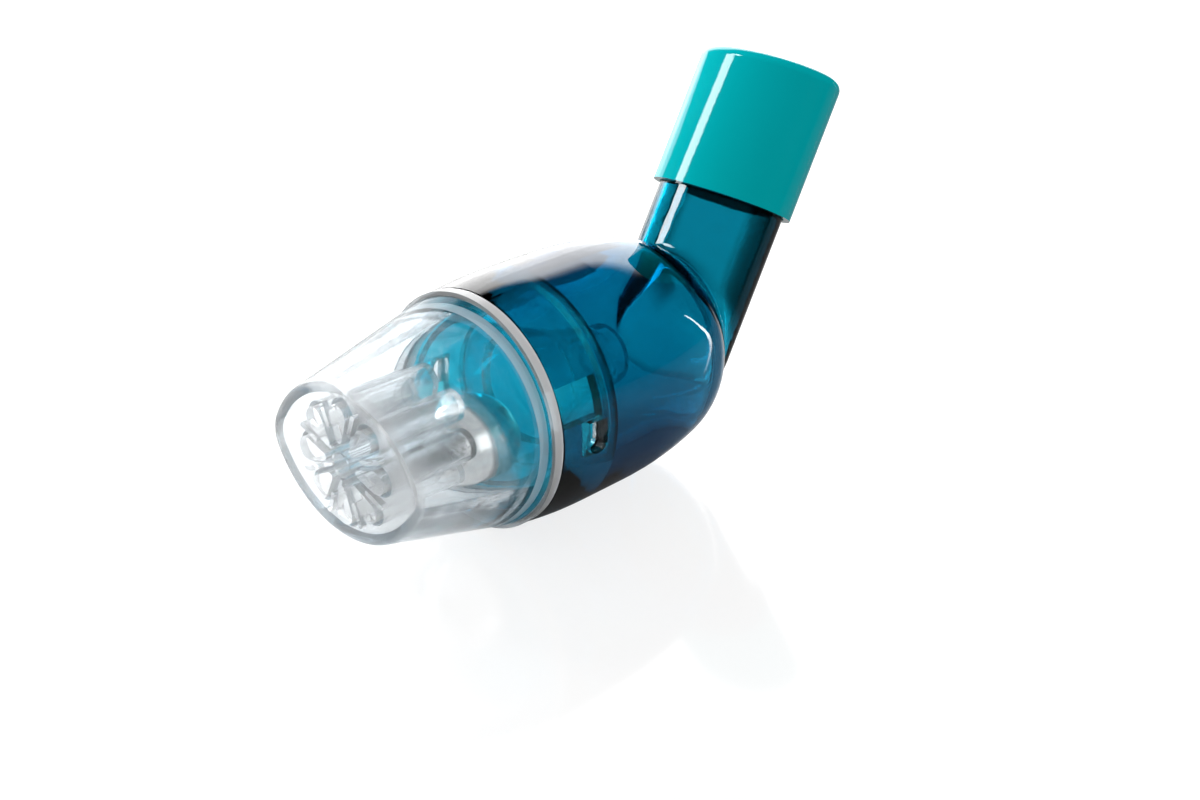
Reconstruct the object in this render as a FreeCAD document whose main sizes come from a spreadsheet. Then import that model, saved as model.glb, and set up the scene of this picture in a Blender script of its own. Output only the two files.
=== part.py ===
import FreeCAD, Part
import math
import os
import Sketcher

# A hand-held breathing trainer of the pipe kind. A steel ball rolls in a funnel, and the
# breath lifts it again and again, so the air comes out in pulses.
# It lies on its belly. X runs along the barrel, from the clear head towards the neck.
# The barrel's axis is the line y = 0, z = 0, and x = 0 is the rim that the head closes.
# The neck rises from the barrel's closed end, leaning towards +X.
# At the end everything moves so that the origin is below the middle, on the table.

SIZES = {
    # Barrel, outside
    "rim_radius": 23.0,
    "belly_rise": 0.95,
    "belly_front_x": 13.0,
    "belly_back_x": 24.0,
    "back_curve": 85.0,
    "shoulder_curve": 17.5,
    "end_curve": 40.0,
    "end_x": 56.8,
    "rim_round": 0.5,
    # Barrel, inside
    "rim_wall": 3.0,
    "ledge_x": 15.0,
    "ledge_step": 1.0,
    "cavity_taper": 1.0,
    "end_wall": 3.2,
    "cavity_corner": 13.5,
    # Neck, an oval tube
    "neck_angle": 58.7,
    "neck_inset": 2.1,
    "neck_half_width": 15.3,
    "neck_half_depth": 8.5,
    "neck_wall": 2.2,
    "neck_foot": -3.0,
    "neck_foot_depth": 13.0,
    "neck_end": 55.4,
    "neck_end_round": 0.9,
    "crease_round": 2.5,
    # Cap on the mouthpiece
    "cap_cover": 27.6,
    "cap_wall": 1.4,
    "cap_gap": 0.2,
    "cap_roof": 1.8,
    "cap_end_gap": 0.3,
    "cap_round": 2.2,
    # Funnel
    "funnel_mouth_x": 0.6,
    "funnel_angle": 20.6,
    "funnel_wall": 1.4,
    "funnel_clearance": 0.35,
    "funnel_ring": 1.7,
    "funnel_gap": 0.1,
    "throat_radius": 5.0,
    "throat_length": 3.0,
    # Ball
    "ball_radius": 9.525,
    "ball_x": -1.4,
    "ball_gap": 0.15,
    # Head, outside
    "flange_thickness": 2.0,
    "flange_step": 0.7,
    "face_x": -31.3,
    "face_half_width": 19.8,
    "face_half_height": 14.4,
    "face_tip": 6.5,
    "face_round": 1.5,
    # Head, inside
    "skirt_gap": 0.1,
    "skirt_wall": 2.0,
    "skirt_end_gap": 0.3,
    "head_wall": 1.8,
    "face_wall": 2.0,
    # Crown of hollow fins behind the face, and the slots between them
    "petal_count": 8,
    "petal_outer_place": 9.4,
    "petal_inner_place": 4.9,
    "petal_outer_round": 2.2,
    "petal_inner_round": 0.8,
    "fin_wall": 0.8,
    "fin_gap": 0.2,
    "hub_radius": 4.2,
    "vent_width": 1.0,
    "vent_inner_place": 7.4,
    "vent_outer_place": 11.2,
    "dimple_radius": 2.4,
    "dimple_depth": 0.4,
    # Twist lock between head and barrel
    "window_x": 8.3,
    "window_z": -0.7,
    "window_length": 4.2,
    "window_height": 6.6,
    "lug_gap": 0.25,
    "lug_height": 1.2,
    "channel_depth": 1.85,
    "channel_half_angle": 9.8,
    "lock_turn": 18.5,
}

# Sizes that follow from those above, so that pieces keep fitting each other
FITS = {
    "belly_radius": "rim_radius + belly_rise",
    "bore_radius": "rim_radius - rim_wall",
    "ledge_radius": "bore_radius - ledge_step",
    "cavity_radius": "ledge_radius - cavity_taper",
    "cavity_end_x": "end_x - end_wall",
    "neck_cross_x": "end_x - neck_inset",
    "cap_start": "neck_end - cap_cover",
    "head_radius": "rim_radius - flange_step",
    "skirt_radius": "bore_radius - skirt_gap",
    "skirt_bore": "skirt_radius - skirt_wall",
    "skirt_length": "ledge_x - funnel_ring - skirt_end_gap",
    "funnel_thickness": "funnel_wall / cos(funnel_angle)",
    "funnel_mouth_radius": "skirt_bore - funnel_clearance - funnel_thickness",
    "throat_x": "funnel_mouth_x + (funnel_mouth_radius - throat_radius) / tan(funnel_angle)",
    "ball_drop": "throat_radius + (throat_x - ball_x) * tan(funnel_angle)"
                 " - (ball_radius + ball_gap) / cos(funnel_angle)",
    "fin_end_x": "ball_x - ball_radius - fin_gap",
    "face_back_x": "face_x + face_wall",
    "channel_radius": "bore_radius + channel_depth",
    "lug_reach": "bore_radius + lug_height",
}

doc = FreeCAD.newDocument("breathing_trainer")
sheet = doc.addObject("Spreadsheet::Sheet", "Sizes")
cells = {name: str(value) for name, value in SIZES.items()}
cells.update({name: f"={rule}" for name, rule in FITS.items()})
for row, name in enumerate(cells, start=1):
    sheet.set(f"A{row}", name)
    sheet.setAlias(f"B{row}", name)
for row, text in enumerate(cells.values(), start=1):
    sheet.set(f"B{row}", text)
doc.recompute()


def value_of(text):
    """The number that an expression on the sheet gives."""
    return float(sheet.evalExpression(text))


def bind(thing, **rules):
    """Ties properties of an object to the sheet."""
    for name, text in rules.items():
        thing.setExpression(name, text)


def new_body(name):
    body = doc.addObject("PartDesign::Body", name)
    body.Label = name
    return body


def new_sketch(body, name, role, place=None, turn_axis=None, turn=None):
    """A sketch on an origin plane, moved by expressions and turned about one local axis."""
    sketch = body.newObject("Sketcher::SketchObject", name)
    plane = next(item for item in body.Origin.OriginFeatures if item.Role == role)
    sketch.AttachmentSupport = [(plane, "")]
    sketch.MapMode = "FlatFace"
    set_offset(sketch, place, turn_axis, turn)
    return sketch


def set_offset(thing, place=None, turn_axis=None, turn=None):
    if turn_axis:
        turned = FreeCAD.Rotation(FreeCAD.Vector(*turn_axis), value_of(turn))
        thing.AttachmentOffset = FreeCAD.Placement(FreeCAD.Vector(), turned)
        thing.setExpression("AttachmentOffset.Rotation.Angle", turn)
    for axis, text in (place or {}).items():
        thing.setExpression(f"AttachmentOffset.Base.{axis}", text)


def tie(sketch, kind, *places, rule):
    """A measured constraint whose value is an expression."""
    index = sketch.addConstraint(Sketcher.Constraint(kind, *places, value_of(rule)))
    sketch.setExpression(f"Constraints[{index}]", rule)


def pin_point(sketch, edge, end, across, up):
    """Puts the end of an edge at two expressions; a plain 0 means on the axis."""
    for kind, text, axis in (("DistanceX", across, -2), ("DistanceY", up, -1)):
        if text == "0":
            sketch.addConstraint(Sketcher.Constraint("PointOnObject", edge, end, axis))
        else:
            tie(sketch, kind, -1, 1, edge, end, rule=text)


def straight_outline(sketch, corners):
    """A closed outline of straight sides through corners given as pairs of expressions."""
    points = [FreeCAD.Vector(value_of(a), value_of(b), 0) for a, b in corners]
    count = len(points)
    for index, point in enumerate(points):
        sketch.addGeometry(Part.LineSegment(point, points[(index + 1) % count]), False)
    for index in range(count):
        sketch.addConstraint(Sketcher.Constraint("Coincident", index, 2, (index + 1) % count, 1))
    for index, (across, up) in enumerate(corners):
        pin_point(sketch, index, 1, across, up)


def circle(sketch, radius):
    edge = sketch.addGeometry(Part.Circle(FreeCAD.Vector(), FreeCAD.Vector(0, 0, 1), value_of(radius)), False)
    sketch.addConstraint(Sketcher.Constraint("Coincident", edge, 3, -1, 1))
    tie(sketch, "Radius", edge, rule=radius)


def ellipse(sketch, half_x, half_y):
    """An ellipse about the sketch's origin; half_y is the longer half."""
    long_end = FreeCAD.Vector(0, value_of(half_y), 0)
    short_end = FreeCAD.Vector(value_of(half_x), 0, 0)
    edge = sketch.addGeometry(Part.Ellipse(long_end, short_end, FreeCAD.Vector()), False)
    sketch.exposeInternalGeometry(edge)
    sketch.addConstraint(Sketcher.Constraint("Coincident", edge, 3, -1, 1))
    sketch.addConstraint(Sketcher.Constraint("Vertical", edge + 1))
    tie(sketch, "Distance", edge + 1, rule=f"2 * ({half_y})")
    tie(sketch, "Distance", edge + 2, rule=f"2 * ({half_x})")


def add(body, kind, name, profile=None, **values):
    feature = body.newObject(f"PartDesign::{kind}", name)
    if profile:
        feature.Profile = profile
        profile.Visibility = False
    for key, item in values.items():
        setattr(feature, key, item)
    return feature


def edges_where(shape, test):
    """Names of the edges whose middle point and edge pass a test."""
    return [f"Edge{i}" for i, edge in enumerate(shape.Edges, start=1) if test(edge)]


def middle(edge):
    return edge.valueAt((edge.FirstParameter + edge.LastParameter) / 2)


def round_edges(body, name, test, radius):
    """A fillet on the edges of the latest shape that pass a test."""
    doc.recompute()
    base = body.Tip
    found = edges_where(base.Shape, test)
    if not found:
        raise ValueError(f"{name}: no edge to round")
    fillet = body.newObject("PartDesign::Fillet", name)
    fillet.Base = (base, found)
    bind(fillet, Radius=radius)
    return fillet


def repeat(body, name, features, axis_sketch, axis, count):
    """Copies features round an axis."""
    pattern = body.newObject("PartDesign::PolarPattern", name)
    pattern.Originals = features
    pattern.Axis = (axis_sketch, [axis])
    pattern.Angle = 360
    if isinstance(count, str):
        pattern.Occurrences = int(value_of(count))
        pattern.setExpression("Occurrences", count)
    else:
        pattern.Occurrences = count
    body.Tip = pattern
    return pattern


NECK_TILT = "90 - Sizes.neck_angle"


def neck_place(along):
    """Offset of a point on the neck's axis, measured along the axis from z = 0."""
    return {
        "x": f"Sizes.neck_cross_x + ({along}) * cos(Sizes.neck_angle)",
        "z": f"({along}) * sin(Sizes.neck_angle)",
    }


def neck_sketch(body, name, along):
    """A sketch square to the neck's axis: local X is the neck's depth, local Y its width."""
    return new_sketch(body, name, "XY_Plane", neck_place(along), (0, 1, 0), NECK_TILT)


def barrel_outline(sketch):
    """Half outline of the barrel: a front arc, a straight belly and three arcs to the closed end."""
    rim, belly = value_of("Sizes.rim_radius"), value_of("Sizes.belly_radius")
    front_x, back_x = value_of("Sizes.belly_front_x"), value_of("Sizes.belly_back_x")
    back, shoulder = value_of("Sizes.back_curve"), value_of("Sizes.shoulder_curve")
    end, end_x = value_of("Sizes.end_curve"), value_of("Sizes.end_x")
    rise = belly - rim
    front = (front_x ** 2 + rise ** 2) / (2 * rise)
    low = FreeCAD.Vector(back_x, belly - back, 0)
    axis_centre = FreeCAD.Vector(end_x - end, 0, 0)
    reach_low, reach_end = back - shoulder, end - shoulder
    gap = axis_centre - low
    along = (reach_low ** 2 - reach_end ** 2 + gap.Length ** 2) / (2 * gap.Length)
    aside = (reach_low ** 2 - along ** 2) ** 0.5
    way = FreeCAD.Vector(gap).normalize()
    turned = FreeCAD.Vector(way.y, -way.x, 0)
    corner = low + way * along + turned * aside
    front_top, back_top = FreeCAD.Vector(front_x, belly, 0), FreeCAD.Vector(back_x, belly, 0)
    front_low = FreeCAD.Vector(front_x, belly - front, 0)
    after_back = low + (corner - low).normalize() * back
    after_shoulder = corner + (corner - axis_centre).normalize() * shoulder
    tip = FreeCAD.Vector(end_x, 0, 0)
    start = FreeCAD.Vector(0, rim, 0)

    def arc(centre, radius, first, last):
        whole = Part.Circle(centre, FreeCAD.Vector(0, 0, 1), radius)
        return Part.ArcOfCircle(whole, whole.parameter(first), whole.parameter(last))

    pieces = [
        arc(front_low, front, front_top, start),
        Part.LineSegment(front_top, back_top),
        arc(low, back, after_back, back_top),
        arc(corner, shoulder, after_shoulder, after_back),
        arc(axis_centre, end, tip, after_shoulder),
        Part.LineSegment(tip, FreeCAD.Vector()),
        Part.LineSegment(FreeCAD.Vector(), start),
    ]
    for piece in pieces:
        sketch.addGeometry(piece, False)
    link = Sketcher.Constraint
    sketch.addConstraint(link("Coincident", 0, 1, 1, 1))
    sketch.addConstraint(link("Vertical", 0, 3, 0, 1))
    sketch.addConstraint(link("Coincident", 1, 2, 2, 2))
    sketch.addConstraint(link("Vertical", 2, 3, 2, 2))
    sketch.addConstraint(link("Tangent", 2, 1, 3, 2))
    sketch.addConstraint(link("Tangent", 3, 1, 4, 2))
    sketch.addConstraint(link("PointOnObject", 4, 3, -1))
    sketch.addConstraint(link("Coincident", 4, 1, 5, 1))
    sketch.addConstraint(link("Coincident", 5, 2, -1, 1))
    sketch.addConstraint(link("Coincident", 6, 1, -1, 1))
    sketch.addConstraint(link("Coincident", 6, 2, 0, 2))
    pin_point(sketch, 0, 2, "0", "Sizes.rim_radius")
    pin_point(sketch, 1, 1, "Sizes.belly_front_x", "Sizes.belly_radius")
    pin_point(sketch, 1, 2, "Sizes.belly_back_x", "Sizes.belly_radius")
    tie(sketch, "Radius", 2, rule="Sizes.back_curve")
    tie(sketch, "Radius", 3, rule="Sizes.shoulder_curve")
    tie(sketch, "Radius", 4, rule="Sizes.end_curve")
    pin_point(sketch, 4, 1, "Sizes.end_x", "0")


def cavity_outline(sketch):
    """Half outline of the space in the barrel: bore, ledge, long taper and a round far corner."""
    bore, ledge_x = value_of("Sizes.bore_radius"), value_of("Sizes.ledge_x")
    front, end_x = value_of("Sizes.ledge_radius"), value_of("Sizes.cavity_end_x")
    radius = value_of("Sizes.cavity_corner")
    step = FreeCAD.Vector(ledge_x, front, 0)
    corner = FreeCAD.Vector(end_x, value_of("Sizes.cavity_radius"), 0)
    slope = (corner - step).normalize()
    down = FreeCAD.Vector(0, -1, 0)
    back_off = radius * math.tan(slope.getAngle(down) / 2)
    first, last = corner - slope * back_off, corner + down * back_off
    centre = last - FreeCAD.Vector(radius, 0, 0)
    deepest = centre + (corner - centre).normalize() * radius
    path = [
        FreeCAD.Vector(),
        FreeCAD.Vector(0, bore, 0),
        FreeCAD.Vector(ledge_x, bore, 0),
        step,
        first,
    ]
    for start, end in zip(path, path[1:]):
        sketch.addGeometry(Part.LineSegment(start, end), False)
    sketch.addGeometry(Part.Arc(last, deepest, first), False)
    foot = FreeCAD.Vector(end_x, 0, 0)
    sketch.addGeometry(Part.LineSegment(last, foot), False)
    sketch.addGeometry(Part.LineSegment(foot, FreeCAD.Vector()), False)
    sketch.addGeometry(Part.Point(corner), True)
    link = Sketcher.Constraint
    for index in range(3):
        sketch.addConstraint(link("Coincident", index, 2, index + 1, 1))
    sketch.addConstraint(link("Tangent", 3, 2, 4, 2))
    sketch.addConstraint(link("Tangent", 4, 1, 5, 1))
    sketch.addConstraint(link("Coincident", 5, 2, 6, 1))
    sketch.addConstraint(link("Coincident", 6, 2, 0, 1))
    sketch.addConstraint(link("Coincident", 0, 1, -1, 1))
    sketch.addConstraint(link("PointOnObject", 7, 1, 3))
    sketch.addConstraint(link("Vertical", 5))
    pin_point(sketch, 1, 1, "0", "Sizes.bore_radius")
    pin_point(sketch, 2, 1, "Sizes.ledge_x", "Sizes.bore_radius")
    pin_point(sketch, 3, 1, "Sizes.ledge_x", "Sizes.ledge_radius")
    pin_point(sketch, 7, 1, "Sizes.cavity_end_x", "Sizes.cavity_radius")
    pin_point(sketch, 6, 1, "Sizes.cavity_end_x", "0")
    tie(sketch, "Radius", 4, rule="Sizes.cavity_corner")


def build_shell():
    """The barrel and the neck: one clear moulding, hollow right through."""
    body = new_body("body")
    barrel = new_sketch(body, "barrel_half", "XZ_Plane")
    barrel_outline(barrel)
    add(body, "Revolution", "barrel", barrel, ReferenceAxis=(barrel, ["H_Axis"]), Angle=360)

    oval = neck_sketch(body, "neck_oval", "Sizes.neck_foot")
    ellipse(oval, "Sizes.neck_half_depth", "Sizes.neck_half_width")
    neck = add(body, "Pad", "neck", oval)
    bind(neck, Length="Sizes.neck_end - Sizes.neck_foot")
    foot = add(body, "AdditiveEllipsoid", "neck_foot")
    seat_ellipsoid(body, foot, "0")

    round_edges(body, "crease", is_crease, "Sizes.crease_round")
    round_edges(body, "neck_lip", is_neck_lip, "Sizes.neck_end_round")

    cavity = new_sketch(body, "cavity_half", "XZ_Plane")
    cavity_outline(cavity)
    add(body, "Groove", "cavity", cavity, ReferenceAxis=(cavity, ["H_Axis"]), Angle=360)

    bore_oval = neck_sketch(body, "neck_bore_oval", "Sizes.neck_foot")
    ellipse(bore_oval, "Sizes.neck_half_depth - Sizes.neck_wall", "Sizes.neck_half_width - Sizes.neck_wall")
    bore = add(body, "Pocket", "neck_bore", bore_oval, Reversed=True)
    bind(bore, Length="Sizes.neck_end - Sizes.neck_foot + 1")
    bottom = add(body, "SubtractiveEllipsoid", "neck_bore_foot")
    seat_ellipsoid(body, bottom, "Sizes.neck_wall")

    cut_twist_lock(body)
    round_edges(body, "rim_edge", is_rim_edge, "Sizes.rim_round")
    return body


def seat_ellipsoid(body, feature, wall):
    """An ellipsoid that ends the oval neck at its foot, smaller all round by a wall."""
    plane = next(item for item in body.Origin.OriginFeatures if item.Role == "XY_Plane")
    feature.AttachmentSupport = [(plane, "")]
    feature.MapMode = "FlatFace"
    set_offset(feature, neck_place("Sizes.neck_foot"), (0, 1, 0), NECK_TILT)
    feature.Angle1 = -90
    feature.Angle2 = 90
    bind(
        feature,
        Radius1=f"Sizes.neck_foot_depth - {wall}",
        Radius2=f"Sizes.neck_half_depth - {wall}",
        Radius3=f"Sizes.neck_half_width - {wall}",
    )


def neck_axis():
    """A point on the neck's axis and the axis's direction."""
    lean = FreeCAD.Rotation(FreeCAD.Vector(0, 1, 0), value_of(NECK_TILT))
    return FreeCAD.Vector(value_of("Sizes.neck_cross_x"), 0, 0), lean.multVec(FreeCAD.Vector(0, 0, 1))


def along_neck(point):
    start, way = neck_axis()
    return (point - start).dot(way)


def radius_at(point):
    return (point.y ** 2 + point.z ** 2) ** 0.5


def is_crease(edge):
    """Edges where the neck leaves the barrel: on the neck's oval and off its end faces."""
    point = middle(edge)
    start, way = neck_axis()
    off = point - start - way * along_neck(point)
    depth = (off - FreeCAD.Vector(0, off.y, 0)).Length / value_of("Sizes.neck_half_depth")
    width = off.y / value_of("Sizes.neck_half_width")
    on_oval = abs(depth ** 2 + width ** 2 - 1) < 0.02
    return on_oval and 0.2 < along_neck(point) < value_of("Sizes.neck_end") - 1


def is_neck_lip(edge):
    return abs(along_neck(middle(edge)) - value_of("Sizes.neck_end")) < 0.01


def is_rim_edge(edge):
    point = middle(edge)
    return abs(point.x) < 0.01 and abs(radius_at(point) - value_of("Sizes.rim_radius")) < 0.01


def d_shape(sketch, centre_x, centre_z, length, height):
    """A window outline: straight top and sides, half round at the bottom."""
    half = f"({length}) / 2"
    top = f"({centre_z}) + ({height}) / 2"
    low = f"({centre_z}) - ({height}) / 2 + {half}"
    left, right = f"({centre_x}) - {half}", f"({centre_x}) + {half}"
    a, b = FreeCAD.Vector(value_of(left), value_of(low), 0), FreeCAD.Vector(value_of(left), value_of(top), 0)
    c, d = FreeCAD.Vector(value_of(right), value_of(top), 0), FreeCAD.Vector(value_of(right), value_of(low), 0)
    deepest = FreeCAD.Vector(value_of(centre_x), value_of(low) - value_of(half), 0)
    for start, end in ((a, b), (b, c), (c, d)):
        sketch.addGeometry(Part.LineSegment(start, end), False)
    sketch.addGeometry(Part.Arc(d, deepest, a), False)
    arc_first_is_a = sketch.getPoint(3, 1).distanceToPoint(a) < 0.01
    ends = (1, 2) if arc_first_is_a else (2, 1)
    link = Sketcher.Constraint
    sketch.addConstraint(link("Coincident", 0, 2, 1, 1))
    sketch.addConstraint(link("Coincident", 1, 2, 2, 1))
    sketch.addConstraint(link("Tangent", 2, 2, 3, ends[1]))
    sketch.addConstraint(link("Coincident", 3, ends[0], 0, 1))
    pin_point(sketch, 0, 1, left, low)
    pin_point(sketch, 1, 1, left, top)
    pin_point(sketch, 2, 1, right, top)
    tie(sketch, "DistanceX", -1, 1, 2, 2, rule=right)
    sketch.addConstraint(link("Horizontal", 3, 3, 0, 1))


def wedge_groove(body, name, x_from, x_to, centre_angle):
    """A groove in the bore's wall, a few degrees wide, on the side that faces -Y."""
    outline = new_sketch(body, f"{name}_outline", "XZ_Plane", None, (1, 0, 0), f"90 - ({centre_angle})")
    inside = "Sizes.bore_radius - 1"
    straight_outline(outline, [
        (x_from, inside),
        (x_from, "Sizes.channel_radius"),
        (x_to, "Sizes.channel_radius"),
        (x_to, inside),
    ])
    groove = add(body, "Groove", name, outline, ReferenceAxis=(outline, ["H_Axis"]), Midplane=True)
    return groove, outline


LOCK_ANGLE = "asin(Sizes.window_z / Sizes.rim_radius) / 1 deg"


def cut_twist_lock(body):
    """Two L-shaped channels in the bore, each ending at a window through the wall."""
    back = "Sizes.window_x + Sizes.window_length / 2"
    front = "Sizes.window_x - Sizes.window_length / 2"
    entry, _ = wedge_groove(body, "entry_channel", "-1", back, f"{LOCK_ANGLE} + Sizes.lock_turn")
    bind(entry, Angle="2 * Sizes.channel_half_angle")
    turn, turn_sketch = wedge_groove(body, "turn_channel", front, back, f"{LOCK_ANGLE} + Sizes.lock_turn / 2")
    bind(turn, Angle="2 * Sizes.channel_half_angle + Sizes.lock_turn")
    hole = new_sketch(body, "window_outline", "XZ_Plane")
    d_shape(hole, "Sizes.window_x", "Sizes.window_z", "Sizes.window_length", "Sizes.window_height")
    window = add(body, "Pocket", "window", hole, Reversed=True)
    bind(window, Length="Sizes.belly_radius + 1")
    repeat(body, "second_lock", [entry, turn, window], turn_sketch, "H_Axis", 2)


def build_cap():
    """The push-on cap, a close cover over the mouthpiece."""
    body = new_body("mouthpiece_cap")
    outer = neck_sketch(body, "cap_oval", "Sizes.cap_start")
    reach = "Sizes.cap_gap + Sizes.cap_wall"
    ellipse(outer, f"Sizes.neck_half_depth + {reach}", f"Sizes.neck_half_width + {reach}")
    block = add(body, "Pad", "cap_block", outer)
    inside = "Sizes.neck_end + Sizes.cap_end_gap - Sizes.cap_start"
    bind(block, Length=f"{inside} + Sizes.cap_roof")
    top = value_of(f"{inside} + Sizes.cap_roof + Sizes.cap_start")
    round_edges(body, "cap_edge", lambda edge: abs(along_neck(middle(edge)) - top) < 0.01, "Sizes.cap_round")
    inner = neck_sketch(body, "cap_bore_oval", "Sizes.cap_start")
    ellipse(inner, "Sizes.neck_half_depth + Sizes.cap_gap", "Sizes.neck_half_width + Sizes.cap_gap")
    hollow = add(body, "Pocket", "cap_bore", inner, Reversed=True)
    bind(hollow, Length=inside)
    return body


def funnel_radius(at):
    """Inside radius of the funnel at a place along the axis."""
    return f"Sizes.funnel_mouth_radius - ({at} - Sizes.funnel_mouth_x) * tan(Sizes.funnel_angle)"


def build_funnel():
    """The funnel that the ball rolls in, with the ring that seats it on the barrel's ledge."""
    body = new_body("funnel")
    thick = "Sizes.funnel_thickness"
    ring_front = "Sizes.ledge_x - Sizes.funnel_ring"
    ring_radius = "Sizes.bore_radius - Sizes.funnel_gap"
    tube_end = "Sizes.throat_x + Sizes.throat_length"
    outline = new_sketch(body, "funnel_half", "XZ_Plane")
    straight_outline(outline, [
        ("Sizes.funnel_mouth_x", "Sizes.funnel_mouth_radius"),
        ("Sizes.throat_x", "Sizes.throat_radius"),
        (tube_end, "Sizes.throat_radius"),
        (tube_end, f"Sizes.throat_radius + {thick}"),
        ("Sizes.throat_x", f"Sizes.throat_radius + {thick}"),
        ("Sizes.ledge_x", f"{funnel_radius('Sizes.ledge_x')} + {thick}"),
        ("Sizes.ledge_x", ring_radius),
        (ring_front, ring_radius),
        (ring_front, f"{funnel_radius(ring_front)} + {thick}"),
        ("Sizes.funnel_mouth_x", f"Sizes.funnel_mouth_radius + {thick}"),
    ])
    add(body, "Revolution", "funnel_turned", outline, ReferenceAxis=(outline, ["H_Axis"]), Angle=360)
    return body


def build_ball():
    """The steel ball, lying on the funnel's lower side in front of the fins."""
    ball = doc.addObject("Part::Sphere", "ball")
    ball.Label = "ball"
    bind(ball, Radius="Sizes.ball_radius")
    ball.Placement.Base = FreeCAD.Vector(value_of("Sizes.ball_x"), 0, -value_of("Sizes.ball_drop"))
    return ball


def oval(sketch, half_width, half_height, tip):
    """An oval of four arcs: two tips of a given radius and two long sides that touch them."""
    wide, high, small = value_of(half_width), value_of(half_height), value_of(tip)
    tip_place = wide - small
    large = (tip_place ** 2 + high ** 2 - small ** 2) / (2 * (high - small))
    low = FreeCAD.Vector(0, high - large, 0)
    right = FreeCAD.Vector(tip_place, 0, 0)
    touch = low + (right - low).normalize() * large
    flip_x, flip_y = FreeCAD.Vector(-touch.x, touch.y, 0), FreeCAD.Vector(touch.x, -touch.y, 0)
    opposite = FreeCAD.Vector(-touch.x, -touch.y, 0)
    arcs = [
        (touch, FreeCAD.Vector(0, high, 0), flip_x),
        (flip_x, FreeCAD.Vector(-wide, 0, 0), opposite),
        (opposite, FreeCAD.Vector(0, -high, 0), flip_y),
        (flip_y, FreeCAD.Vector(wide, 0, 0), touch),
    ]
    for first, through, last in arcs:
        sketch.addGeometry(Part.Arc(first, through, last), False)
    link = Sketcher.Constraint
    for index, after in ((0, 1), (1, 2), (3, 0)):
        sketch.addConstraint(link("Tangent", index, 2, after, 1))
    sketch.addConstraint(link("Coincident", 2, 2, 3, 1))
    for index, axis in ((0, -2), (1, -1), (2, -2)):
        sketch.addConstraint(link("PointOnObject", index, 3, axis))
    sketch.addConstraint(link("Equal", 0, 2))
    sketch.addConstraint(link("Equal", 1, 3))
    tie(sketch, "Radius", 3, rule=tip)
    tie(sketch, "DistanceX", -1, 1, 3, 3, rule=f"({half_width}) - ({tip})")
    tie(sketch, "Radius", 0, rule=long_side_radius(half_width, half_height, tip))


def long_side_radius(half_width, half_height, tip):
    """Radius of the long sides of an oval of four arcs."""
    place = f"(({half_width}) - ({tip}))"
    return f"({place} ^ 2 + ({half_height}) ^ 2 - ({tip}) ^ 2) / (2 * (({half_height}) - ({tip})))"


def quartered_circle(sketch, radius, half_width, half_height, tip):
    """A circle of four arcs that meet where an oval's arcs do, seen by their slope."""
    long_side = long_side_radius(half_width, half_height, tip)
    reach = f"({long_side} - ({tip}))"
    across = f"({radius}) * (({half_width}) - ({tip})) / {reach}"
    up = f"({radius}) * ({long_side} - ({half_height})) / {reach}"
    x, y, whole = value_of(across), value_of(up), value_of(radius)
    corners = [FreeCAD.Vector(*place) for place in ((x, y), (-x, y), (-x, -y), (x, -y))]
    tops = [FreeCAD.Vector(*place) for place in ((0, whole), (-whole, 0), (0, -whole), (whole, 0))]
    for index, top in enumerate(tops):
        sketch.addGeometry(Part.Arc(corners[index], top, corners[(index + 1) % 4]), False)
    link = Sketcher.Constraint
    for index in range(4):
        sketch.addConstraint(link("Coincident", index, 2, (index + 1) % 4, 1))
        sketch.addConstraint(link("Coincident", index, 3, -1, 1))
    pin_point(sketch, 0, 1, across, up)
    tie(sketch, "DistanceX", -1, 1, 1, 1, rule=f"-({across})")
    tie(sketch, "DistanceY", -1, 1, 2, 1, rule=f"-({up})")
    tie(sketch, "DistanceX", -1, 1, 3, 1, rule=across)


def petal(sketch, grow):
    """A petal outline along local Y: a wide round outer end and a narrow inner end."""
    places = {"outer": "Sizes.petal_outer_place", "inner": "Sizes.petal_inner_place"}
    rounds = {"outer": f"Sizes.petal_outer_round + {grow}", "inner": f"Sizes.petal_inner_round + {grow}"}
    far, near = value_of(places["outer"]), value_of(places["inner"])
    big, small = value_of(rounds["outer"]), value_of(rounds["inner"])
    lean = (big - small) / (far - near)
    side = FreeCAD.Vector((1 - lean ** 2) ** 0.5, -lean, 0)
    mirror = FreeCAD.Vector(-side.x, side.y, 0)
    top, low = FreeCAD.Vector(0, far, 0), FreeCAD.Vector(0, near, 0)
    sketch.addGeometry(Part.Arc(top + side * big, FreeCAD.Vector(0, far + big, 0), top + mirror * big), False)
    sketch.addGeometry(Part.LineSegment(top + mirror * big, low + mirror * small), False)
    tip = FreeCAD.Vector(0, near - small, 0)
    sketch.addGeometry(Part.Arc(low + mirror * small, tip, low + side * small), False)
    sketch.addGeometry(Part.LineSegment(low + side * small, top + side * big), False)
    link = Sketcher.Constraint
    for index in range(4):
        sketch.addConstraint(link("Tangent", index, 2, (index + 1) % 4, 1))
    pin_point(sketch, 0, 3, "0", places["outer"])
    pin_point(sketch, 2, 3, "0", places["inner"])
    tie(sketch, "Radius", 0, rule=rounds["outer"])
    tie(sketch, "Radius", 2, rule=rounds["inner"])


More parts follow.
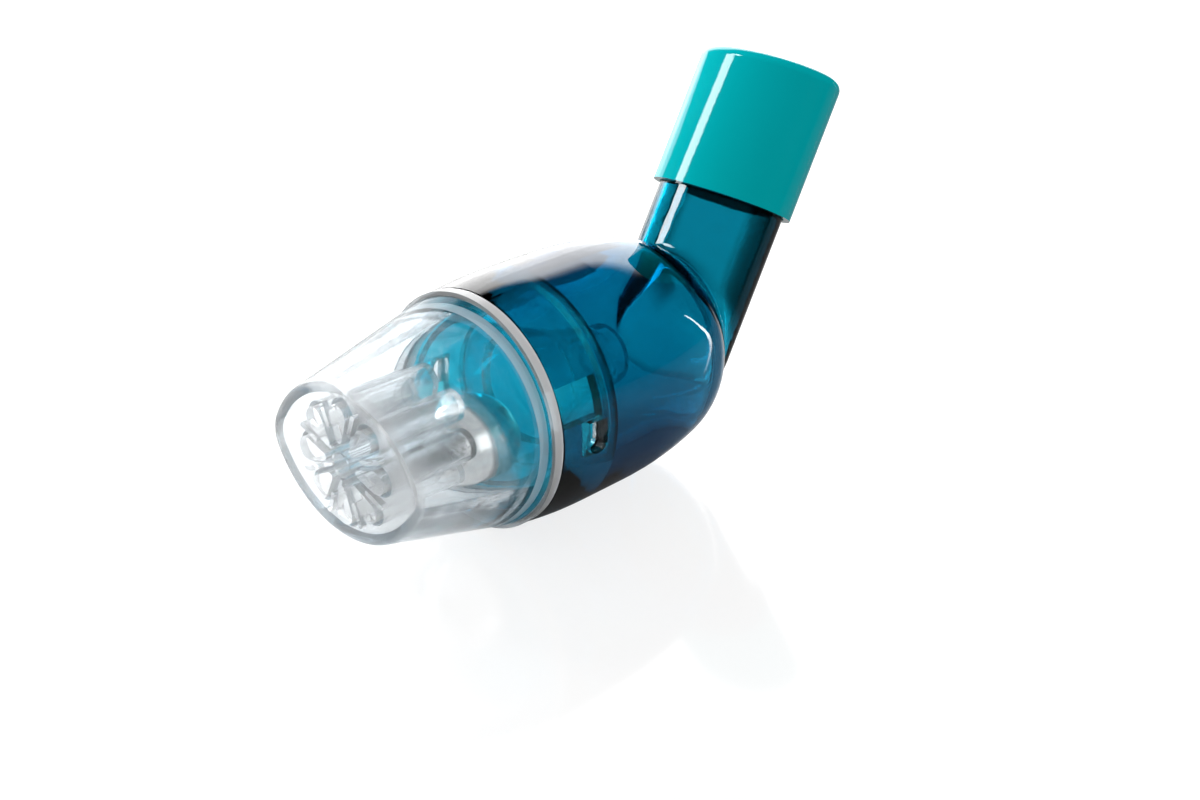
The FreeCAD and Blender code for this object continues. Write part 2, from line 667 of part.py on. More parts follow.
def slot(sketch, inner, outer, width):
    """A straight slot along local Y with round ends."""
    near, far, half = value_of(inner), value_of(outer), value_of(width) / 2
    right, left = FreeCAD.Vector(half, 0, 0), FreeCAD.Vector(-half, 0, 0)
    top, low = FreeCAD.Vector(0, far, 0), FreeCAD.Vector(0, near, 0)
    sketch.addGeometry(Part.Arc(top + right, FreeCAD.Vector(0, far + half, 0), top + left), False)
    sketch.addGeometry(Part.LineSegment(top + left, low + left), False)
    sketch.addGeometry(Part.Arc(low + left, FreeCAD.Vector(0, near - half, 0), low + right), False)
    sketch.addGeometry(Part.LineSegment(low + right, top + right), False)
    for index in range(4):
        sketch.addConstraint(Sketcher.Constraint("Tangent", index, 2, (index + 1) % 4, 1))
    pin_point(sketch, 0, 3, "0", outer)
    pin_point(sketch, 2, 3, "0", inner)
    tie(sketch, "Radius", 0, rule=f"({width}) / 2")


def cross_sketch(body, name, at, turn=None):
    """A sketch square to the barrel's axis: local X is the barrel's +Y, local Y its +Z."""
    return new_sketch(body, name, "YZ_Plane", {"z": at}, (0, 0, 1) if turn else None, turn)


def build_head():
    """The clear head: flange, tapering shell with an oval face, skirt, lugs and the crown."""
    body = new_body("head")
    flange_front = "-Sizes.flange_thickness"
    outer_oval = ("Sizes.face_half_width", "Sizes.face_half_height", "Sizes.face_tip")
    inner_oval = tuple(f"{size} - Sizes.head_wall" for size in outer_oval)

    flange_outline = cross_sketch(body, "flange_outline", flange_front)
    circle(flange_outline, "Sizes.rim_radius")
    flange = add(body, "Pad", "flange", flange_outline)
    bind(flange, Length="Sizes.flange_thickness")

    round_end = cross_sketch(body, "shell_round_end", flange_front)
    quartered_circle(round_end, "Sizes.head_radius", *outer_oval)
    oval_end = cross_sketch(body, "shell_oval_end", "Sizes.face_x")
    oval(oval_end, *outer_oval)
    add(body, "AdditiveLoft", "shell", round_end, Sections=[(oval_end, [""])], Ruled=True)
    face_x = value_of("Sizes.face_x")
    round_edges(body, "face_edge", lambda edge: abs(middle(edge).x - face_x) < 0.01, "Sizes.face_round")

    skirt_outline = cross_sketch(body, "skirt_outline", "0")
    circle(skirt_outline, "Sizes.skirt_radius")
    skirt = add(body, "Pad", "skirt", skirt_outline)
    bind(skirt, Length="Sizes.skirt_length")

    bore_outline = cross_sketch(body, "skirt_bore_outline", "0")
    circle(bore_outline, "Sizes.skirt_bore")
    bore = add(body, "Pocket", "skirt_hollow", bore_outline, Reversed=True)
    bind(bore, Length="Sizes.skirt_length + 1")
    hollow_round = cross_sketch(body, "hollow_round_end", "0")
    quartered_circle(hollow_round, "Sizes.skirt_bore", *inner_oval)
    hollow_oval = cross_sketch(body, "hollow_oval_end", "Sizes.face_back_x")
    oval(hollow_oval, *inner_oval)
    add(body, "SubtractiveLoft", "shell_hollow", hollow_round, Sections=[(hollow_oval, [""])], Ruled=True)

    add_crown(body)
    add_lugs(body)
    return body


def add_crown(body):
    """Blind petal pockets sunk into the face; their walls stand behind it as a ring of fins."""
    fin_outline = cross_sketch(body, "fin_outline", "Sizes.face_back_x")
    petal(fin_outline, "Sizes.fin_wall")
    fin = add(body, "Pad", "fin", fin_outline)
    bind(fin, Length="Sizes.fin_end_x - Sizes.face_back_x")
    repeat(body, "fins", [fin], fin_outline, "N_Axis", "Sizes.petal_count")
    hub_outline = cross_sketch(body, "hub_outline", "Sizes.face_back_x")
    circle(hub_outline, "Sizes.hub_radius")
    hub = add(body, "Pad", "hub", hub_outline)
    bind(hub, Length="Sizes.fin_end_x - Sizes.face_back_x")

    pocket_outline = cross_sketch(body, "pocket_outline", "Sizes.face_x")
    petal(pocket_outline, "0")
    pocket = add(body, "Pocket", "petal_pocket", pocket_outline, Reversed=True)
    bind(pocket, Length="Sizes.fin_end_x - Sizes.fin_wall - Sizes.face_x")
    repeat(body, "petal_pockets", [pocket], pocket_outline, "N_Axis", "Sizes.petal_count")

    vent_outline = cross_sketch(body, "vent_outline", "Sizes.face_x", "180 / Sizes.petal_count")
    slot(vent_outline, "Sizes.vent_inner_place", "Sizes.vent_outer_place", "Sizes.vent_width")
    vent = add(body, "Pocket", "vent", vent_outline, Reversed=True)
    bind(vent, Length="Sizes.face_wall + 1")
    repeat(body, "vents", [vent], vent_outline, "N_Axis", "Sizes.petal_count")

    dimple_outline = cross_sketch(body, "dimple_outline", "Sizes.face_x")
    circle(dimple_outline, "Sizes.dimple_radius")
    dimple = add(body, "Pocket", "dimple", dimple_outline, Reversed=True)
    bind(dimple, Length="Sizes.dimple_depth")


def add_lugs(body):
    """Two lugs on the skirt that turn into the barrel's windows."""
    outline = new_sketch(body, "lug_outline", "XZ_Plane", {"z": "Sizes.skirt_bore + 0.5"})
    length = "Sizes.window_length - 2 * Sizes.lug_gap"
    height = "Sizes.window_height - 2 * Sizes.lug_gap"
    d_shape(outline, "Sizes.window_x", "Sizes.window_z", length, height)
    lug = add(body, "Pad", "lug", outline)
    bind(lug, Length="Sizes.lug_reach - Sizes.skirt_bore - 0.5")
    axis_line = body.getObject("skirt_outline")
    repeat(body, "lugs", [lug], axis_line, "N_Axis", 2)


def check_document():
    """Stops on any object that failed and on any empty or faulty solid."""
    doc.recompute()
    for item in doc.Objects:
        faults = [word for word in item.State if word in ("Invalid", "Error")]
        if faults:
            raise ValueError(f"{item.Name}: {faults}")
    for piece in PIECES:
        if piece.Shape.isNull() or not piece.Shape.isValid():
            raise ValueError(f"{piece.Label}: the shape is empty or not valid")


def stand_on_table():
    """Moves every piece so that the origin is below the middle of the whole, on the table."""
    whole = Part.makeCompound([piece.Shape for piece in PIECES]).optimalBoundingBox(True, False)
    shift = FreeCAD.Vector(-whole.Center.x, -whole.Center.y, -whole.ZMin)
    for piece in PIECES:
        piece.Placement.Base = piece.Placement.Base + shift
    doc.recompute()
    print(f"rim centre is at {shift.x:.3f}, {shift.y:.3f}, {shift.z:.3f}")
    print(f"whole is {whole.XLength:.2f} x {whole.YLength:.2f} x {whole.ZLength:.2f}")


PIECES = [build_shell(), build_cap(), build_funnel(), build_ball(), build_head()]
check_document()
stand_on_table()
os.makedirs("parts", exist_ok=True)
for piece in PIECES:
    solids = piece.Shape.Solids
    volume = piece.Shape.Volume / 1000
    print(f"{piece.Label}: {len(solids)} solid, {volume:.2f} cm3, {len(piece.Shape.Faces)} faces")
    piece.Shape.exportStep(f"parts/{piece.Label}.step")
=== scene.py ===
# %% [markdown]
# # A breathing trainer in clear plastic
# This lesson dresses a small clinical device that is shaped like a pipe. A steel ball rolls in a
# clear funnel, behind a clear perforated head, and the teal barrel runs into an oval mouthpiece
# with an opaque cap. The shapes come from CAD, so nothing here moves or resizes them. What is left
# to learn is clear plastic: how deep it is coloured, what it bends and what it mirrors.

# %% Load the CAD frame
import bpy
import bmesh
import math
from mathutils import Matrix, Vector


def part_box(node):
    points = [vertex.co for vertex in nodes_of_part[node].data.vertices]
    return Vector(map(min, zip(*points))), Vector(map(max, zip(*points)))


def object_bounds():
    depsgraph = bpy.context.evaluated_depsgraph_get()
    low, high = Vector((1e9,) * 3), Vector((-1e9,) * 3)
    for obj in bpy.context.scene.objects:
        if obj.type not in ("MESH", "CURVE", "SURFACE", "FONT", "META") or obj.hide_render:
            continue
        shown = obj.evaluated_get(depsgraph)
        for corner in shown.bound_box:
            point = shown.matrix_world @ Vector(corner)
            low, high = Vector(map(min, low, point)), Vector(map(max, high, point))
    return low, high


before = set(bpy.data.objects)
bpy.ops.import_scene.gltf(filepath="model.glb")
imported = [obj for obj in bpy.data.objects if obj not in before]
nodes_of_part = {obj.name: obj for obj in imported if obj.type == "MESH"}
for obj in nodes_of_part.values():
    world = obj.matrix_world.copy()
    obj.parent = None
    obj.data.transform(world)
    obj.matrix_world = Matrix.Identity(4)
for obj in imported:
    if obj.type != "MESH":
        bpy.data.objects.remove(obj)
cad_low, cad_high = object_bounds()
print("CAD box", [round(v, 4) for v in (*cad_low, *cad_high)])

# %% [markdown]
# Everything is placed from the centre of the barrel's open rim, because the camera was matched to
# the photograph from there. The rim is where the barrel starts, and the funnel is centred on the
# barrel's axis, so two boxes of the frame give the point.

# %% Find the rim's centre
MM = 0.001

body_low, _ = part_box("body")
funnel_low, funnel_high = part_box("funnel")
axis_height = (funnel_low[2] + funnel_high[2]) / 2
rim = Vector((body_low[0], 0.0, axis_height))
print("rim centre", [round(v, 5) for v in rim])

# %% [markdown]
# ## Smooth surfaces
# The CAD meshes are made of small flat triangles. Clear plastic shows every one of them, because
# each bends the light its own way. Smooth shading blends the surface direction across them, and
# edges that turn by more than 28 degrees stay sharp, as moulded edges do.

# %% Shade the CAD pieces smooth
SHARP_TURN = math.radians(28)

for name, node in nodes_of_part.items():
    node.data.shade_smooth()
    node.data.set_sharp_from_angle(angle=SHARP_TURN)
    print(name, "has", len(node.data.polygons), "faces")

# %% [markdown]
# ## Materials from nodes
# Every finish below starts with an empty material and its main shader. Real plastic and steel are
# never quite even, and noise gives them that. It is tied to the object's own millimetres, so that
# its blotches have a real size and stay on the surface in any view.

# %% Helpers that start a finish and give it noise


def new_finish(name):
    """A material with its main shader and the tree they live in."""
    finish = bpy.data.materials.new(name)
    finish.use_nodes = True
    tree = finish.node_tree
    return finish, tree, tree.nodes["Principled BSDF"]


def place_on_object(tree):
    """The place of a point of the surface, in metres and in the object's own axes."""
    return tree.nodes.new("ShaderNodeTexCoord").outputs["Object"]


def noise_in_mm(tree, size_mm, detail=2.0):
    """Noise whose blotches are about size_mm across, from 0 to 1."""
    noise = tree.nodes.new("ShaderNodeTexNoise")
    noise.inputs["Scale"].default_value = 1.0 / (size_mm * MM)
    noise.inputs["Detail"].default_value = detail
    tree.links.new(place_on_object(tree), noise.inputs["Vector"])
    return noise.outputs["Fac"]


# %% [markdown]
# Some finishes change at a place: at a crease, or at a radius from the axis. The place could be
# painted on the mesh, but a distance worked out by nodes needs no paint and has a real size too.

# %% Helpers that measure places
ALONG_X = (1.0, 0.0, 0.0)
ALONG_Y = (0.0, 1.0, 0.0)
ACROSS_X = (0.0, 1.0, 1.0)
LEVEL = (1.0, 1.0, 0.0)
ORIGIN = (0.0, 0.0, 0.0)


def vector_step(tree, operation, source, other=None):
    """One step of vector maths; a length or a dot product comes out as one number."""
    step = tree.nodes.new("ShaderNodeVectorMath")
    step.operation = operation
    tree.links.new(source, step.inputs[0])
    if other:
        step.inputs[1].default_value = other
    return step.outputs["Value" if operation in ("DOT_PRODUCT", "LENGTH") else "Vector"]


def along(tree, way):
    """How far a point of the surface lies along a direction of the object, in metres."""
    return vector_step(tree, "DOT_PRODUCT", place_on_object(tree), way)


def reach_from(tree, centre, axes):
    """How far a point of the surface is from a centre, counted only along the axes marked 1."""
    offset = vector_step(tree, "SUBTRACT", place_on_object(tree), centre)
    return vector_step(tree, "LENGTH", vector_step(tree, "MULTIPLY", offset, axes))


# %% [markdown]
# Noise runs from 0 to 1 and a distance is in metres, so both are brought to the range that is
# needed. The next helpers remap, fade, mix and multiply such patterns.

# %% Helpers that change patterns


def remap(tree, source, low, high):
    """Stretches a 0 to 1 pattern to run from low to high."""
    ramp = tree.nodes.new("ShaderNodeMapRange")
    ramp.inputs["To Min"].default_value = low
    ramp.inputs["To Max"].default_value = high
    tree.links.new(source, ramp.inputs["Value"])
    return ramp.outputs["Result"]


def fade_between(tree, source, start, stop):
    """0 at start and 1 at stop, with a soft run between."""
    fade = tree.nodes.new("ShaderNodeMapRange")
    fade.interpolation_type = "SMOOTHSTEP"
    fade.inputs["From Min"].default_value = start
    fade.inputs["From Max"].default_value = stop
    tree.links.new(source, fade.inputs["Value"])
    return fade.outputs["Result"]


def mix_by(tree, factor, low, high, kind="FLOAT"):
    """Runs from low to high as factor goes from 0 to 1; each is a value or a socket."""
    blend = tree.nodes.new("ShaderNodeMix")
    blend.data_type = kind
    tree.links.new(factor, blend.inputs["Factor"])
    for name, value in (("A", low), ("B", high)):
        if isinstance(value, (float, tuple)):
            blend.inputs[name].default_value = value
        else:
            tree.links.new(value, blend.inputs[name])
    return blend.outputs["Result"]


def times(tree, first, second):
    """The product of two sockets."""
    product = tree.nodes.new("ShaderNodeMath")
    product.operation = "MULTIPLY"
    tree.links.new(first, product.inputs[0])
    tree.links.new(second, product.inputs[1])
    return product.outputs["Value"]


# %% [markdown]
# A pattern does nothing until the shader follows it. It can drive the colour, the roughness, or the
# faint unevenness that a mould leaves on plastic. The last helper puts a finish on a CAD piece.

# %% Helpers that put patterns and finishes on


def colour_by(tree, shader, pattern, first, second):
    """Lets a pattern run the surface colour from the first to the second."""
    tree.links.new(mix_by(tree, pattern, first, second, "RGBA"), shader.inputs["Base Color"])


def roughen_by(tree, shader, pattern, low, high):
    """Lets a pattern run the roughness from low to high."""
    tree.links.new(remap(tree, pattern, low, high), shader.inputs["Roughness"])


def relief_by(tree, shader, pattern, height_mm):
    """Bumps the surface by a pattern, height_mm deep."""
    bump = tree.nodes.new("ShaderNodeBump")
    bump.inputs["Distance"].default_value = height_mm * MM
    tree.links.new(pattern, bump.inputs["Height"])
    tree.links.new(bump.outputs["Normal"], shader.inputs["Normal"])


def dress(node_name, finish):
    """Gives a CAD piece its one finish."""
    slots = nodes_of_part[node_name].data.materials
    slots.clear()
    slots.append(finish)
    print(node_name, "is finished in", finish.name)


# %% [markdown]
# ## Clear plastic
# A clear moulding is not a thin coloured skin. Light bends as it enters, loses colour with every
# millimetre that it crosses, and leaves through a far wall. So the surface itself stays white and
# fully transmitting, and the colour sits in the volume as absorption. That is why edges and the
# belly, where light runs along inside the wall, turn nearly black while thin walls stay bright.
# The teal's absorption was matched to the middle of the barrel in the photograph. A wall of 2.2 mm
# lets through 7 per cent of the red, 55 of the green and 65 of the blue.
#
# The renderer gives up on a light path that has crossed very many walls, and leaves it black. Head
# and funnel stand wall behind wall, so they bend light less than solid plastic would, and let
# 15 per cent of it pass as if they weren't there.

# %% Clear plastic
WHITE = (1.0, 1.0, 1.0, 1.0)
COOL_WHITE = (0.975, 0.98, 0.985, 1.0)
TEAL_TINT = (0.0, 0.772, 0.835, 1.0)
CLEAR_TINT = (0.30, 0.62, 0.80, 1.0)
HAZE_LEAST, HAZE_MOST = 0.5, 1.6


def clear_plastic(name, index, haze, tint, absorb_per_metre, wave_mm, wave_height_mm, alpha=1.0):
    """A see-through finish: gloss and bending on the surface, colour in the depth."""
    finish, tree, shader = new_finish(name)
    shader.inputs["Transmission Weight"].default_value = 1.0
    shader.inputs["IOR"].default_value = index
    shader.inputs["Alpha"].default_value = alpha
    handling = noise_in_mm(tree, size_mm=9.0, detail=3.0)
    roughen_by(tree, shader, handling, haze * HAZE_LEAST, haze * HAZE_MOST)
    colour_by(tree, shader, noise_in_mm(tree, size_mm=14.0), WHITE, COOL_WHITE)
    relief_by(tree, shader, noise_in_mm(tree, wave_mm, detail=1.0), wave_height_mm)
    depth = tree.nodes.new("ShaderNodeVolumeAbsorption")
    depth.inputs["Color"].default_value = tint
    depth.inputs["Density"].default_value = absorb_per_metre
    tree.links.new(depth.outputs["Volume"], tree.nodes["Material Output"].inputs["Volume"])
    return finish


teal_moulding = clear_plastic(
    "clear_teal_moulding", index=1.55, haze=0.012, tint=TEAL_TINT, absorb_per_metre=1200.0,
    wave_mm=11.0, wave_height_mm=0.02,
)
clear_moulding = clear_plastic(
    "clear_head_moulding", index=1.25, haze=0.004, tint=CLEAR_TINT, absorb_per_metre=20.0,
    wave_mm=8.0, wave_height_mm=0.03, alpha=0.85,
)
funnel_moulding = clear_plastic(
    "clear_funnel_moulding", index=1.3, haze=0.004, tint=CLEAR_TINT, absorb_per_metre=10.0,
    wave_mm=8.0, wave_height_mm=0.02, alpha=0.85,
)
dress("funnel", funnel_moulding)

# %% [markdown]
# The neck is darker in the photograph than its walls explain, and darkest along its two narrow
# sides. So shade is painted on its surface, the one place of the teal moulding that isn't white:
# painted shade starts beyond the crease where the neck leaves the barrel, deeper on the sides.

# %% The neck's painted shade
NECK_LEAN = (0.9435, 0.0, 0.3313)
NECK_CREASE, NECK_FADE = 33 * MM, 3 * MM
NECK_SIDE, NECK_SIDE_FADE = 11 * MM, 2 * MM
NECK_PAINTED_SHADE = (0.5, 0.66, 0.69, 1.0)
NECK_SIDE_PAINTED_SHADE = (0.12, 0.1, 0.1, 1.0)


def paint_shade_more(tree, where, tint):
    """Runs a finish's surface colour towards a painted shade colour, where a pattern says."""
    shader = tree.nodes["Principled BSDF"]
    plain = shader.inputs["Base Color"].links[0].from_socket
    colour_by(tree, shader, where, plain, tint)


def paint_neck_shade(finish):
    """Paints shade on the teal moulding beyond the crease, and more on the neck's narrow sides."""
    tree = finish.node_tree
    on_neck = fade_between(tree, along(tree, NECK_LEAN), NECK_CREASE, NECK_CREASE + NECK_FADE)
    off_middle = reach_from(tree, ORIGIN, ALONG_Y)
    on_side = fade_between(tree, off_middle, NECK_SIDE, NECK_SIDE + NECK_SIDE_FADE)
    # Painted shade: darker beyond the crease, and darker still along the neck's narrow sides.
    paint_shade_more(tree, on_neck, NECK_PAINTED_SHADE)
    paint_shade_more(tree, times(tree, on_neck, on_side), NECK_SIDE_PAINTED_SHADE)


paint_neck_shade(teal_moulding)
dress("body", teal_moulding)

# %% [markdown]
# The head isn't equally clear all over. Its thick flange shows as a white ring. Its face and the
# crown of hollow fins behind it are frosted, so light comes through blurred, and the fins clear
# towards the ball. Each of these is a band: it starts and stops at places along the axis, has a
# fade past its end, and reaches out to a radius.

# %% Frosted bands on the head
SOFT_EDGE = 0.15 * MM
FACE_BACK = cad_low[0] + 2 * MM
WHOLE_HEAD = 25 * MM
FLANGE = {
    "start": rim.x - 2 * MM, "stop": rim.x, "fade": SOFT_EDGE, "radius": WHOLE_HEAD,
    "clearness": 0.3, "haze": 0.05,
}
FACE = {
    "start": cad_low[0], "stop": FACE_BACK, "fade": SOFT_EDGE, "radius": WHOLE_HEAD,
    "clearness": 0.8, "haze": 0.25,
}
CROWN = {
    "start": FACE_BACK, "stop": FACE_BACK + 5 * MM, "fade": 9 * MM, "radius": 12.6 * MM,
    "clearness": 0.85, "haze": 0.06,
}


def inside_band(tree, band):
    """1 inside a band of the head and 0 outside it."""
    axial = along(tree, ALONG_X)
    enter = fade_between(tree, axial, band["start"] - SOFT_EDGE, band["start"] + SOFT_EDGE)
    leave = fade_between(tree, axial, band["stop"] + band["fade"], band["stop"])
    off_axis = reach_from(tree, (0.0, 0.0, axis_height), ACROSS_X)
    near = fade_between(tree, off_axis, band["radius"] + SOFT_EDGE, band["radius"] - SOFT_EDGE)
    return times(tree, times(tree, enter, leave), near)


def frost_bands(finish, bands):
    """Makes a clear finish less clear and more blurred inside each band."""
    tree = finish.node_tree
    shader = tree.nodes["Principled BSDF"]
    clearness = 1.0
    haze = shader.inputs["Roughness"].links[0].from_socket
    for band in bands:
        inside = inside_band(tree, band)
        clearness = mix_by(tree, inside, clearness, band["clearness"])
        haze = mix_by(tree, inside, haze, band["haze"])
    tree.links.new(clearness, shader.inputs["Transmission Weight"])
    tree.links.new(haze, shader.inputs["Roughness"])


frost_bands(clear_moulding, (FLANGE, FACE, CROWN))
dress("head", clear_moulding)

# %% [markdown]
# ## The opaque cap
# The cap is the same family of teal, but filled with pigment, so no light passes. It is a hard
# gloss with a very slight texture, and its teal drifts a little from place to place.

# %% The cap's plastic
CAP_DEEP = (0.0, 0.45, 0.49, 1.0)
CAP_PALE = (0.0, 0.49, 0.54, 1.0)


def pigmented_plastic(name, deep, pale):
    """A solid-coloured glossy moulding with slow colour drift and mould texture."""
    finish, tree, shader = new_finish(name)
    shader.inputs["IOR"].default_value = 1.5
    colour_by(tree, shader, noise_in_mm(tree, size_mm=18.0), deep, pale)
    roughen_by(tree, shader, noise_in_mm(tree, size_mm=5.0, detail=4.0), low=0.04, high=0.0625)
    relief_by(tree, shader, noise_in_mm(tree, size_mm=1.3, detail=3.0), height_mm=0.006)
    return finish


dress("mouthpiece_cap", pigmented_plastic("opaque_teal_cap", CAP_DEEP, CAP_PALE))

# %% [markdown]
# ## The steel ball
# A bearing ball for such a trainer is tumbled, so it is bright but not a mirror: a satin grey
# with fine grain, cloudy patches, and faint rub marks from rolling in the funnel.

# %% The ball's steel
STEEL_LIGHT = (0.78, 0.77, 0.76, 1.0)
STEEL_DARK = (0.58, 0.57, 0.56, 1.0)


def tumbled_steel(name, light, dark):
    """Satin steel with clouds, rub marks and grain."""
    finish, tree, shader = new_finish(name)
    shader.inputs["Metallic"].default_value = 1.0
    colour_by(tree, shader, noise_in_mm(tree, size_mm=4.0, detail=4.0), light, dark)
    roughen_by(tree, shader, noise_in_mm(tree, size_mm=2.2, detail=5.0), low=0.12, high=0.26)
    relief_by(tree, shader, noise_in_mm(tree, size_mm=0.25, detail=4.0), height_mm=0.004)
    return finish


dress("ball", tumbled_steel("tumbled_steel", STEEL_LIGHT, STEEL_DARK))

# %% [markdown]
# ## Table and room
# The photograph shows a glossy white table that runs into a white backdrop. The side of the room
# where the camera stands is black: the barrel mirrors it, and shows its own teal there with no
# veil. A room like that gives each kind of ray something else to find, so the first helper sorts
# rays.

# %% Sort the rays


def by_ray(tree, soft, mirrored, through, direct):
    """One strength for soft light, one off gloss, one through clear plastic, one for the camera."""
    path = tree.nodes.new("ShaderNodeLightPath")
    value = mix_by(tree, path.outputs["Is Glossy Ray"], soft, mirrored)
    value = mix_by(tree, path.outputs["Is Transmission Ray"], value, through)
    return mix_by(tree, path.outputs["Is Camera Ray"], value, direct)


# %% [markdown]
# The table is a plain disc of white gloss lacquer. Its own shade is modest, and a glow that the
# camera and clear plastic see brings it to white, so that it still takes a faint mirror image.
# Gloss sees that glow only under the clear head, as painted light from the backdrop through the
# head; under and before the barrel gloss sees painted shade, so the table is mirrored dark there.

# %% The table
TABLE_RADIUS = 3.0
TABLE_SHADE = (0.2, 0.2, 0.2, 1.0)
TABLE_GLOW = 0.81
TABLE_GLOW_FAR = 1.0
TABLE_MIRRORED_PAINTED_SHADE = 0.04
GLOW_RUN = (0.12, 0.5)
PAINTED_LIGHT_UNDER_HEAD = (rim.x + 2 * MM, rim.x - 8 * MM)
BEHIND_FRONT = (-30 * MM, -20 * MM)


def white_table(radius):
    """A round table top under the trainer."""
    shape = bpy.data.meshes.new("table_top")
    work = bmesh.new()
    bmesh.ops.create_circle(work, cap_ends=True, segments=96, radius=radius)
    work.to_mesh(shape)
    work.free()
    top = bpy.data.objects.new("table_top", shape)
    bpy.context.scene.collection.objects.link(top)
    return top


def table_gloss(near_glow, far_glow, mirrored_painted_shade):
    """Glowing white gloss lacquer, more so far away; gloss sees painted light only under the head.
    """
    finish, tree, shader = new_finish("white_gloss_lacquer")
    shader.inputs["Base Color"].default_value = TABLE_SHADE
    shader.inputs["Emission Color"].default_value = WHITE
    roughen_by(tree, shader, noise_in_mm(tree, size_mm=60.0), low=0.07, high=0.11)
    away = fade_between(tree, reach_from(tree, ORIGIN, LEVEL), *GLOW_RUN)
    glow = mix_by(tree, away, near_glow, far_glow)
    # Painted light and shade seen in gloss: bright under the clear head, dark under and before the
    # barrel.
    painted_light_under_head = fade_between(tree, along(tree, ALONG_X), *PAINTED_LIGHT_UNDER_HEAD)
    behind_front = fade_between(tree, along(tree, ALONG_Y), *BEHIND_FRONT)
    mirrored = mix_by(tree, times(tree, painted_light_under_head, behind_front), mirrored_painted_shade, glow)
    tree.links.new(by_ray(tree, 0.0, mirrored, glow, glow), shader.inputs["Emission Strength"])
    return finish


table_top = white_table(TABLE_RADIUS)
table_top.data.materials.append(table_gloss(TABLE_GLOW, TABLE_GLOW_FAR, TABLE_MIRRORED_PAINTED_SHADE))
print("table is", round(table_top.dimensions.x, 2), "m across")

# %% [markdown]
# The backdrop behind the trainer is one wide soft box, and gloss sees it over three times as bright
# as plain white. The pale sheen on the barrel's top gives its edges away: it stands on the table,
# ends softly about 37 degrees up, and is some 64 degrees wide. Away from it gloss sees black, while
# soft light and looks through clear plastic still find a pale room.

# %% The room
BACKDROP_WAY = (0.73, 0.68, 0.0)
BACKDROP_SIDES = (0.76, 0.92)
BACKDROP_TOP = (0.66, 0.54)
ROOM_LIGHT = 0.6
BACKDROP_SOFT_LIGHT = 2.0
BACKDROP_LIGHT = 3.5
CAMERA_SIDE = 0.006
CAMERA_SIDE_THROUGH = 0.85
CAMERA_SIDE_RUN = (-0.8, 0.2)


def light_the_room():
    """A world that is bright behind the trainer and black behind the camera."""
    room = bpy.data.worlds.new("studio_room")
    bpy.context.scene.world = room
    room.use_nodes = True
    tree = room.node_tree
    way = tree.nodes.new("ShaderNodeTexCoord").outputs["Generated"]
    height = tree.nodes.new("ShaderNodeSeparateXYZ")
    tree.links.new(way, height.inputs["Vector"])
    level_way = vector_step(tree, "NORMALIZE", vector_step(tree, "MULTIPLY", way, LEVEL))
    turned = vector_step(tree, "DOT_PRODUCT", level_way, BACKDROP_WAY)
    sides = fade_between(tree, turned, *BACKDROP_SIDES)
    backdrop = times(tree, sides, fade_between(tree, height.outputs["Z"], *BACKDROP_TOP))
    soft = mix_by(tree, backdrop, ROOM_LIGHT, BACKDROP_SOFT_LIGHT)
    mirrored = mix_by(tree, backdrop, CAMERA_SIDE, BACKDROP_LIGHT)
    far_side = fade_between(tree, turned, *CAMERA_SIDE_RUN)
    through = mix_by(tree, far_side, CAMERA_SIDE_THROUGH, 1.0)
    background = tree.nodes["Background"]
    background.inputs["Color"].default_value = WHITE
    strength = by_ray(tree, soft, mirrored, through, 1.0)
    tree.links.new(strength, background.inputs["Strength"])
    print(room.name, "has a backdrop that gloss sees at", BACKDROP_LIGHT, "times white")


light_the_room()

# %% [markdown]
# Three soft boxes draw the highlights: the white line down the cap and neck, the pale left edge of
# the cap, and the thin arc on the domed back. Two broad ones only fill, and gloss doesn't see them:
# one from behind on the left, so the cap is lighter on that side, and a weak one from the front.

# %% Soft boxes
AIM = Vector((0.0, 0.0, 0.03))


def way_to(azimuth, elevation):
    """The direction towards a place round the trainer; azimuth 0 is the -Y side."""
    level = math.cos(elevation)
    return Vector((math.sin(azimuth) * level, -math.cos(azimuth) * level, math.sin(elevation)))


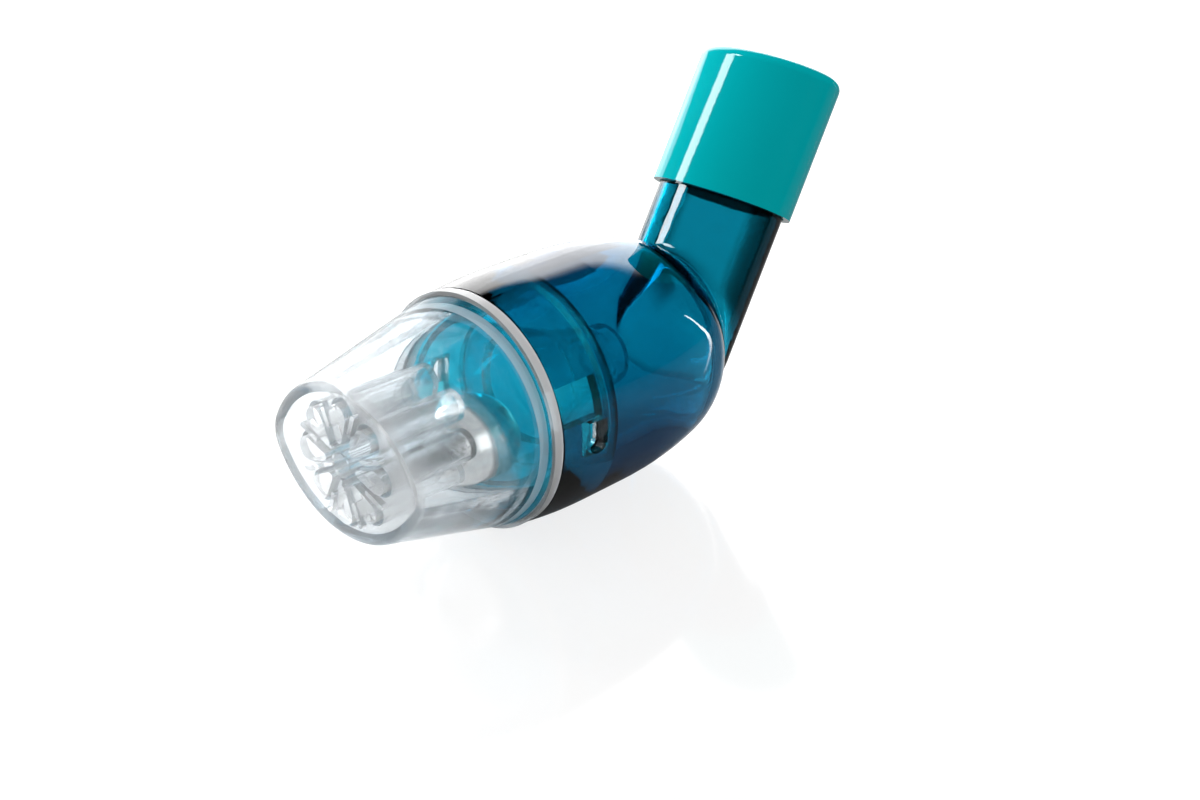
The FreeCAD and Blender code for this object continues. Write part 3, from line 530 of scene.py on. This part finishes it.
def soft_box(name, azimuth, elevation, distance, width, height, watts, mirrored=True):
    """An area lamp that looks at the trainer from a direction given in degrees."""
    lamp = bpy.data.lights.new(name, "AREA")
    lamp.shape = "RECTANGLE"
    lamp.size, lamp.size_y = width, height
    lamp.energy = watts
    holder = bpy.data.objects.new(name, lamp)
    bpy.context.scene.collection.objects.link(holder)
    way = way_to(math.radians(azimuth), math.radians(elevation))
    holder.location = AIM + way * distance
    holder.rotation_mode = "QUATERNION"
    holder.rotation_quaternion = way.to_track_quat("Z", "Y")
    holder.visible_glossy = mirrored
    print(name, "hangs at", [round(v, 2) for v in holder.location])


soft_box("strip_box", azimuth=-156, elevation=25, distance=0.8, width=0.12, height=0.6, watts=2.5)
soft_box("edge_box", azimuth=168, elevation=6, distance=0.8, width=0.25, height=0.15, watts=0.24)
soft_box("right_box", azimuth=66, elevation=6, distance=0.9, width=0.012, height=0.35, watts=0.14)
soft_box(
    "left_fill", azimuth=176, elevation=15, distance=0.8, width=0.5, height=0.5, watts=6.5,
    mirrored=False,
)
soft_box(
    "front_fill", azimuth=-5, elevation=20, distance=0.8, width=0.5, height=0.5, watts=1.2,
    mirrored=False,
)

# %% [markdown]
# ## Camera
# The camera was matched to the photograph: a 48 mm lens on a 36 mm sensor, 297 mm from the rim's
# centre, looking down by 25.5 degrees, 46 degrees round to the left of the barrel's side.

# %% Camera
VIEW_AZIMUTH = math.radians(-46.165)
VIEW_ELEVATION = math.radians(25.542)
FROM_RIM = Vector((-176.2, -201.1, 129.0)) * MM

lens = bpy.data.cameras.new("photo_camera")
lens.lens, lens.sensor_width = 48.0, 36.0
lens.clip_start, lens.clip_end = 0.01, 20.0
camera = bpy.data.objects.new("photo_camera", lens)
bpy.context.scene.collection.objects.link(camera)
camera.location = rim + FROM_RIM
camera.rotation_mode = "QUATERNION"
camera.rotation_quaternion = (-way_to(VIEW_AZIMUTH, VIEW_ELEVATION)).to_track_quat("-Z", "Y")
bpy.context.scene.camera = camera
bpy.context.scene.view_settings.view_transform = "Standard"
print("camera at", [round(v, 3) for v in camera.location])
